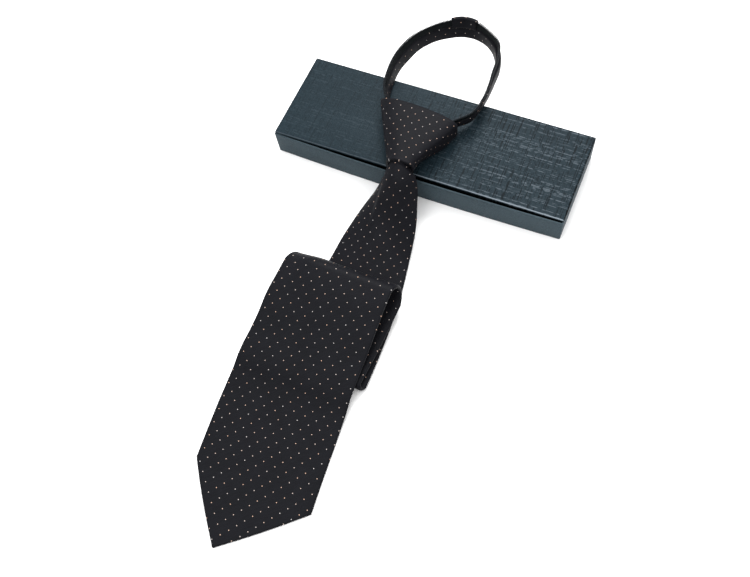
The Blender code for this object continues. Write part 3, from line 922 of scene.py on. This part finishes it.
# Across and along the loop, rise of the band, its lean outwards in degrees, and its width.
LOOP_TURNS = (
    (-0.190, -0.140, 0.55, 5, 0.64),
    (-0.343, 0.000, 0.55, 9, 0.64),
    (-0.434, 0.123, 0.55, 10, 0.93),
    (-0.474, 0.271, 0.53, 10, 1.00),
    (-0.487, 0.440, 0.47, 11, 1.00),
    (-0.457, 0.598, 0.41, 14, 1.00),
    (-0.400, 0.735, 0.36, 10, 1.00),
    (-0.288, 0.857, 0.34, 8, 1.00),
    (-0.164, 0.936, 0.34, 11, 1.00),
    (-0.030, 0.992, 0.34, 14, 1.00),
    (0.120, 0.996, 0.34, 9, 1.00),
    (0.276, 0.945, 0.34, 2, 1.00),
    (0.406, 0.857, 0.34, 6, 1.00),
    (0.472, 0.726, 0.34, -1, 1.00),
    (0.492, 0.570, 0.38, -2, 1.00),
    (0.510, 0.410, 0.47, 3, 1.00),
    (0.505, 0.268, 0.52, 9, 0.98),
    (0.465, 0.120, 0.55, 11, 0.88),
    (0.322, 0.000, 0.54, 8, 0.64),
    (0.180, -0.140, 0.54, 4, 0.64),
)
loop_curve = smooth(
    [
        (
            LOOP_CENTRE + LOOP_WIDTH * across,
            KNOT_TOP + LOOP_REACH * along,
            KNOT_BOTTOM + BAND_WIDTH * rise,
            math.radians(lean),
            width,
        )
        for across, along, rise, lean, width in LOOP_TURNS
    ],
    LOOP_STEPS,
)
loop_places = [Vector(row[:3]) for row in loop_curve]
loop_lengths = [0.0]
for a, b in zip(loop_places, loop_places[1:]):
    loop_lengths.append(loop_lengths[-1] + (b - a).length)
loop_length = loop_lengths[-1]
tab_middle = loop_length * TAB_PLACE
twist_middle = loop_lengths[round(TWIST_ROW * LOOP_STEPS)]


def band_frame(distance):
    """The band at a distance along the loop: its middle, the ways up and out, and its width."""
    i = 0
    while i < len(loop_lengths) - 2 and loop_lengths[i + 1] < distance:
        i += 1
    share = (distance - loop_lengths[i]) / (loop_lengths[i + 1] - loop_lengths[i])
    middle = loop_places[i].lerp(loop_places[i + 1], share)
    lean = between(loop_curve[i][3], loop_curve[i + 1][3], share)
    width = between(loop_curve[i][4], loop_curve[i + 1][4], share)
    near, far = max(i - 1, 0), min(i + 2, len(loop_places) - 1)
    run = loop_places[far] - loop_places[near]
    run.z = 0
    run.normalize()
    out = Vector((-run.y, run.x, 0))
    upward = Vector((0, 0, math.cos(lean))) + out * math.sin(lean)
    outward = out * math.cos(lean) - Vector((0, 0, math.sin(lean)))
    return middle, upward, outward, width


def band_strip(name, start, end, low, high, thickness, inner, puff, twist, material):
    """A strip of the band between two heights above its middle, rounded off towards its edges by
    the puff, and thicker by the twist's share where the band turns over."""
    rings, marks = [], []
    steps = round((end - start) / STRIP_STEP)
    for step in range(steps + 1):
        distance = between(start, end, step / steps)
        middle, upward, outward, width = band_frame(distance)
        centre, half = (low + high) / 2 * width, (high - low) / 2 * width
        full = thickness * (1 + twist * hump(distance, twist_middle, TWIST_REACH))
        front, back, front_marks, back_marks = [], [], [], []
        for place, part in columns_of(2 * half, inner):
            round_off = 1 - puff * (place / half) ** 2
            side = full / 2 * part * round_off
            spot = middle + upward * (centre + place)
            front.append(spot + outward * side)
            if part > 0:
                back.append(spot - outward * side)
            mark = dot_place(distance, -(centre + place), BAND_SHIFT)
            front_marks.append(mark)
            back_marks.append(mark)
        rings.append([*front, *reversed(back)])
        marks.append([front_marks, list(reversed(back_marks))])
    return skin(name, rings, marks, "closed", material)


cloth_top = CLOTH_WIDTH - BAND_WIDTH / 2
neck_band = band_strip(
    "neck_band_cloth",
    0.0,
    loop_length,
    -BAND_WIDTH / 2,
    cloth_top,
    CLOTH_THICKNESS,
    inner=8,
    puff=0.25,
    twist=1.1,
    material=tie_cloth,
)
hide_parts("neck_band")

# Zip: a black tape woven of polyester, with a nylon coil sewn along its edge.
# The coil is one filament wound into small turns, which hook into the other
# side's turns where the slider has closed them.
TAPE_THICKNESS = 0.8 * MM
TAPE_GAP = 0.08 * MM
TAPE_LAP = 0.2 * MM
WEAVE_STEPS = (0.5, 0.7)
TEETH_WIDTH = 2 * MM
COIL_PITCH = 1.1 * MM
COIL_WIRE = 0.27 * MM
COIL_SPARE = 0.2  # the coil gives way less than its tape where the band narrows
COIL_SIDES = 6
TURN_STEPS = 10


def woven_tape():
    """Black tape in a plain weave, a little furry."""
    material, shader = plain_finish("woven_tape", 0.75, 0.06)
    count = brew(material, "UVMap", uv_map="cloth")["UV"]
    places, ribs = [], []
    for way, step in zip(zip(DOT_STEP_A, DOT_STEP_B), WEAVE_STEPS):
        place = brew(material, "VectorMath", {0: count, 1: (*way, 0)}, operation="DOT_PRODUCT")
        places.append(place["Value"])
        phase = figure(material, "MULTIPLY", place["Value"], math.tau / step)
        ribs.append(brew(material, "Math", {0: phase}, operation="SINE")["Value"])
    weave = figure(material, "MULTIPLY", *ribs)
    tape = brew(material, "CombineXYZ", {"X": places[0], "Y": places[1]})["Vector"]
    fuzz = brew(material, "TexNoise", {"Vector": tape, "Scale": 1.4, "Detail": 4.0})["Fac"]
    level = add_up(material, 0.55, ((weave, 0.35), (fuzz, 0.9)))
    colour = brew(
        material, "VectorMath", {0: (0.0040, 0.0056, 0.0064), "Scale": level}, operation="SCALE"
    )["Vector"]
    join(material, colour, shader["Base Color"])
    bump = brew(material, "Bump", {"Strength": 0.6, "Distance": 0.08 * MM, "Height": weave})
    join(material, bump["Normal"], shader["Normal"])
    return material


def black_nylon():
    """The coil's nylon, rubbed smoother here and there."""
    material, shader = plain_finish("black_nylon", 0.42, 0.20)
    place = brew(material, "TexCoord")["Object"]
    rub = brew(material, "TexNoise", {"Vector": place, "Scale": 900.0, "Detail": 3.0})["Fac"]
    colour = brew(
        material,
        "Mix",
        {0: rub, "A": (0.006, 0.007, 0.009, 1), "B": (0.018, 0.021, 0.025, 1)},
        data_type="RGBA",
    )["Result"]
    join(material, colour, shader["Base Color"])
    rough = brew(material, "MapRange", {"Value": rub, "To Min": 0.34, "To Max": 0.55})
    join(material, rough["Result"], shader["Roughness"])
    return material


tape_finish = woven_tape()
nylon_finish = black_nylon()
coil_middle = (BAND_WIDTH - TEETH_WIDTH) / 2
halves = (
    ("left", 0.0, tab_middle - GAP / 2),
    ("right", tab_middle + GAP / 2, loop_length),
)

for side, start, end in halves:
    tape = band_strip(
        f"zip_tape_{side}_woven",
        start,
        end,
        cloth_top + TAPE_GAP,
        coil_middle - TAPE_LAP,
        TAPE_THICKNESS,
        inner=4,
        puff=0.0,
        twist=0.5,
        material=tape_finish,
    )
    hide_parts(f"zip_tape_{side}")
    turns = int((end - start) / COIL_PITCH)
    body = bmesh.new()
    rows = []
    for step in range(turns * TURN_STEPS + 1):
        angle = math.tau * step / TURN_STEPS
        distance = between(start, end, step / (turns * TURN_STEPS))
        middle, upward, outward, width = band_frame(distance)
        deep = TEETH_WIDTH / 2 - COIL_WIRE
        tall = deep * min(1.0, width + COIL_SPARE)
        spoke = upward * (tall * math.cos(angle)) + outward * (deep * math.sin(angle))
        centre = middle + upward * (coil_middle * width) + spoke
        spoke.normalize()
        forward = upward.cross(outward).normalized()
        row = []
        for k in range(COIL_SIDES):
            turn = math.tau * k / COIL_SIDES
            offset = spoke * math.cos(turn) + forward * math.sin(turn)
            row.append(body.verts.new(centre + offset * COIL_WIRE))
        rows.append(row)
    for near, far in zip(rows, rows[1:]):
        for i in range(COIL_SIDES):
            body.faces.new((near[i - 1], near[i], far[i], far[i - 1]))
    for row in (rows[0], rows[-1]):
        body.faces.new(row)
    coil = close_up(body, f"zip_coil_{side}", nylon_finish)
    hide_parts(f"zip_teeth_{side}")

# Back tab: a strip of the tie cloth folded over the upper edge where the two
# halves of the zip meet at the back of the neck, and stitched down.
TAB_LENGTH = 20 * MM
TAB_DEPTH = 8 * MM
TAB_STEPS = 16
TAB_WALL = 0.7 * MM
TAB_END_THINNING = 0.3 * MM
TAB_GAP = 0.1 * MM
TAB_LIP = 0.25 * MM
TAB_FLATNESS = 0.7
LEG_STEPS = 6
FOLD_STEPS = 10


def tab_ring(distance, end_share):
    """The tab's section, a fold open at the bottom: up its outer leg, over, down its inner leg."""
    middle, upward, outward, width = band_frame(distance)
    low = BAND_WIDTH / 2 - TAB_DEPTH
    inner = CLOTH_THICKNESS / 2 + TAB_GAP
    outer = inner + TAB_WALL - TAB_END_THINNING * end_share**4
    shoulder = BAND_WIDTH / 2 + TAB_GAP - inner * TAB_FLATNESS
    outside, inside = [], []
    for half_depth, chain in ((outer, outside), (inner, inside)):
        tall = inner * TAB_FLATNESS + (half_depth - inner)
        for step in range(LEG_STEPS):
            height = between(low, shoulder, step / LEG_STEPS)
            chain.append((height, half_depth))
        for step in range(FOLD_STEPS + 1):
            turn = math.pi * step / FOLD_STEPS
            chain.append((shoulder + tall * math.sin(turn), half_depth * math.cos(turn)))
        for step in range(LEG_STEPS - 1, -1, -1):
            height = between(low, shoulder, step / LEG_STEPS)
            chain.append((height, -half_depth))
    lip_low, lip_middle = low - TAB_LIP, (inner + outer) / 2
    section = [(lip_low, lip_middle), *outside, (lip_low, -lip_middle), *reversed(inside)]
    ring = [middle + upward * a + outward * b for a, b in section]
    marks, reach = [], 0.0
    for a, b in zip(ring, [*ring[1:], ring[0]]):
        marks.append(dot_place(distance, reach))
        reach += (b - a).length
    marks.append(dot_place(distance, reach))
    return ring, [marks]


tab_rows = []
for step in range(TAB_STEPS + 1):
    share = 2 * step / TAB_STEPS - 1
    tab_rows.append(tab_ring(tab_middle + TAB_LENGTH / 2 * share, abs(share)))
back_tab = skin(
    "back_tab_cloth", [r for r, _ in tab_rows], [m for _, m in tab_rows], "closed", tie_cloth
)
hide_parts("back_tab")
